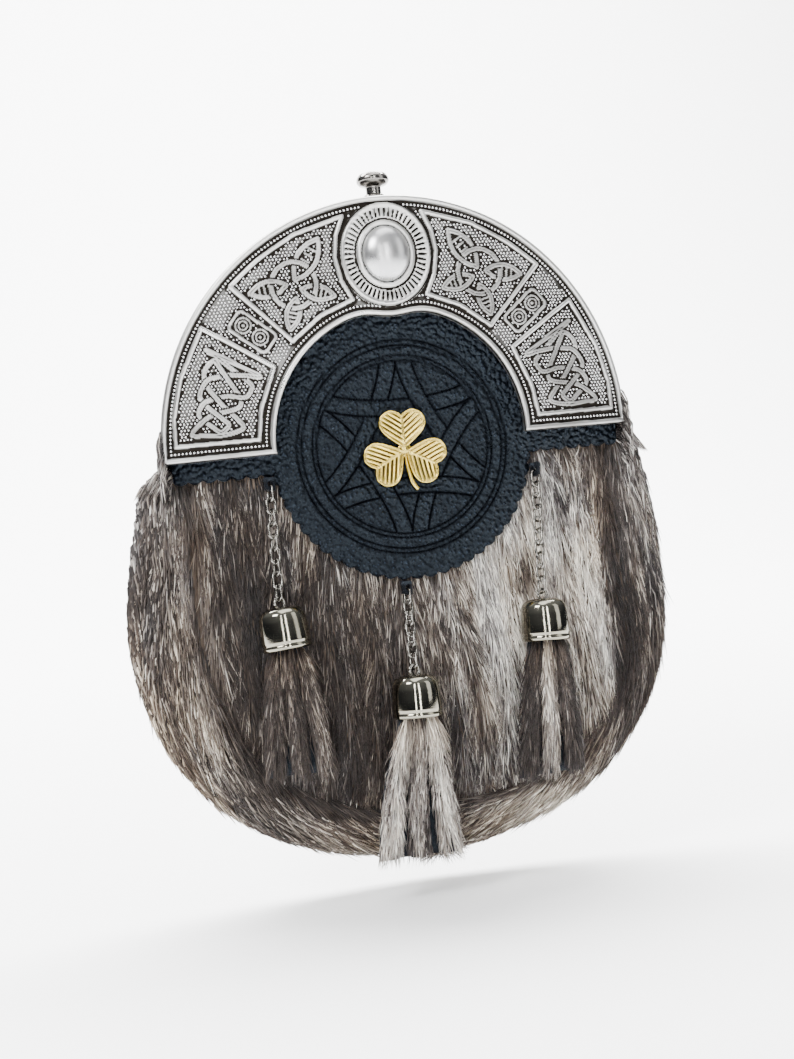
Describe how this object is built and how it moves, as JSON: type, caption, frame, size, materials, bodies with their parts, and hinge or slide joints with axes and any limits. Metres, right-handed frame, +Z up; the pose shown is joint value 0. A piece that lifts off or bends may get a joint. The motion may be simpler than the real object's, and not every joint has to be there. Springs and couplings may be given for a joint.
{
  "type": "sporran pouch",
  "caption": "Full-dress sporran: arched cast metal cantle with knot relief over a fur pouch, black leather apron with a gilt shamrock, and chained fur tassels under metal bells.",
  "frame": {"origin": "where the strap runs through the two loops on the back, midway between them", "axes": "+Z up, front faces -Y, +X to the viewer's right"},
  "size_m": [0.176, 0.0563, 0.2238],
  "materials": {
    "antique_silver": "cast metal with an antiqued silver finish, dark in its recesses",
    "gunmetal": "polished dark nickel",
    "gold": "satin gilt casting",
    "black_leather": "pebbled black leather, embossed",
    "fur": "mixed silver, tan and dark brown fur, lying downwards"
  },
  "bodies": {
    "pouch": {"cantle": "antique_silver", "medallion_dome": "antique_silver", "back_frame": "gunmetal", "catch_collar": "gunmetal", "apron": "black_leather", "shamrock_badge": "gold", "fur_front": "fur", "fur_gusset": "fur", "back_panel": "black_leather", "loop_left": "black_leather", "loop_right": "black_leather", "bell_left": "gunmetal", "tassel_left": "fur", "hanger_left": "black_leather", "link_left_1": "gunmetal", "link_left_2": "gunmetal", "link_left_3": "gunmetal", "link_left_4": "gunmetal", "link_left_5": "gunmetal", "link_left_6": "gunmetal", "link_left_7": "gunmetal", "link_left_8": "gunmetal", "link_left_9": "gunmetal", "bell_centre": "gunmetal", "tassel_centre": "fur", "hanger_centre": "black_leather", "link_centre_1": "gunmetal", "link_centre_2": "gunmetal", "link_centre_3": "gunmetal", "link_centre_4": "gunmetal", "link_centre_5": "gunmetal", "link_centre_6": "gunmetal", "link_centre_7": "gunmetal", "bell_right": "gunmetal", "tassel_right": "fur", "hanger_right": "black_leather", "link_right_1": "gunmetal", "link_right_2": "gunmetal", "link_right_3": "gunmetal", "link_right_4": "gunmetal", "link_right_5": "gunmetal", "link_right_6": "gunmetal", "link_right_7": "gunmetal", "link_right_8": "gunmetal", "link_right_9": "gunmetal", "link_right_10": "gunmetal"},
    "knob": {"catch_knob": "gunmetal"}
  },
  "joints": [
    {"name": "catch_press", "type": "slide", "parent": "pouch", "child": "knob", "axis": [0, 0, -1], "range_m": [0, 0.0026], "stiffness_N_per_m": 400, "springref_m": -0.004}
  ]
}
